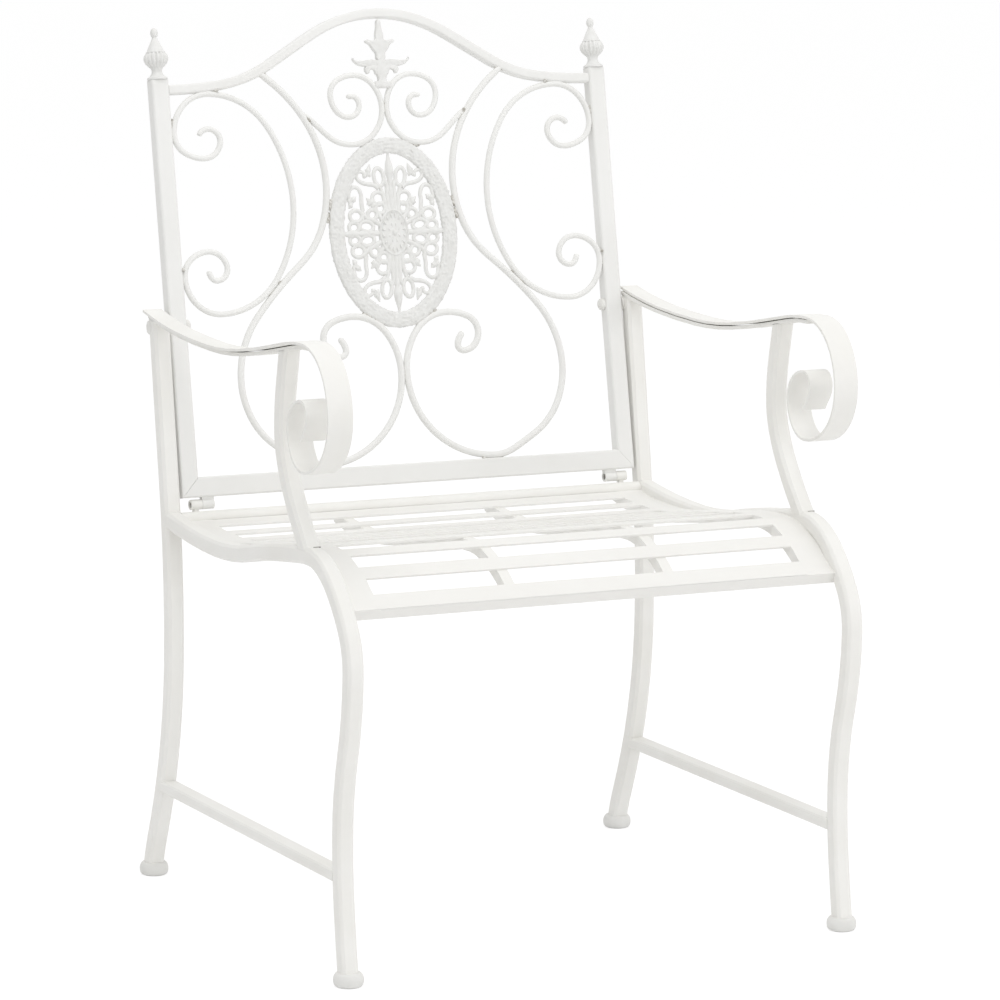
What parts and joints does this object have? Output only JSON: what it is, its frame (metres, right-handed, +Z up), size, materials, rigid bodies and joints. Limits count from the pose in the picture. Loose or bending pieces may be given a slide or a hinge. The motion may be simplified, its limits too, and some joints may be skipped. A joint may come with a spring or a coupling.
{
  "type": "garden armchair",
  "caption": "Metal garden armchair: bent tube side frames, slatted seat, scrolled arms and a scrollwork back that hinges forward onto the seat.",
  "frame": {"origin": "on the floor, under the middle of the chair's outer box", "axes": "+Z up, +X towards the sitter's left, -Y the way the sitter faces"},
  "size_m": [0.5956, 0.5858, 0.9213],
  "materials": {
    "paint": "matte",
    "foot_cap": "matte",
    "fastener": "satin"
  },
  "bodies": {
    "frame": {"back_bolts": "fastener", "foot_caps": "foot_cap", "hinge_pins": "fastener", "left_arm_bar": "paint", "left_arm_post": "paint", "left_armrest": "paint", "left_rear_leg": "paint", "left_seat_rail": "paint", "left_seat_support": "paint", "left_side_rail": "paint", "left_stretcher": "paint", "right_arm_bar": "paint", "right_arm_post": "paint", "right_armrest": "paint", "right_rear_leg": "paint", "right_seat_rail": "paint", "right_seat_support": "paint", "right_side_rail": "paint", "right_stretcher": "paint", "seat_front_rail": "paint", "seat_knuckles": "paint", "seat_nuts": "fastener", "seat_rear_rail": "paint", "seat_slat_01": "paint", "seat_slat_02": "paint", "seat_slat_03": "paint", "seat_slat_04": "paint", "seat_slat_05": "paint", "seat_slat_06": "paint", "seat_slat_07": "paint", "seat_slat_08": "paint", "seat_slat_09": "paint", "seat_slat_10": "paint", "seat_tabs": "paint"},
    "back": {"back_bottom_rail": "paint", "back_knuckles": "paint", "back_top_rail": "paint", "cap_nuts": "fastener", "finials": "paint", "fleur": "paint", "left_back_post": "paint", "left_crest_scroll": "paint", "left_lyre_rod": "paint", "left_side_scroll": "paint", "medallion_ring": "paint", "medallion_rosette": "paint", "right_back_post": "paint", "right_crest_scroll": "paint", "right_lyre_rod": "paint", "right_side_scroll": "paint"}
  },
  "joints": [
    {"name": "back_fold", "type": "hinge", "parent": "frame", "child": "back", "pos_m": [0, 0.18036, 0.40884], "axis": [1, 0, 0], "range_deg": [0, 95]}
  ]
}
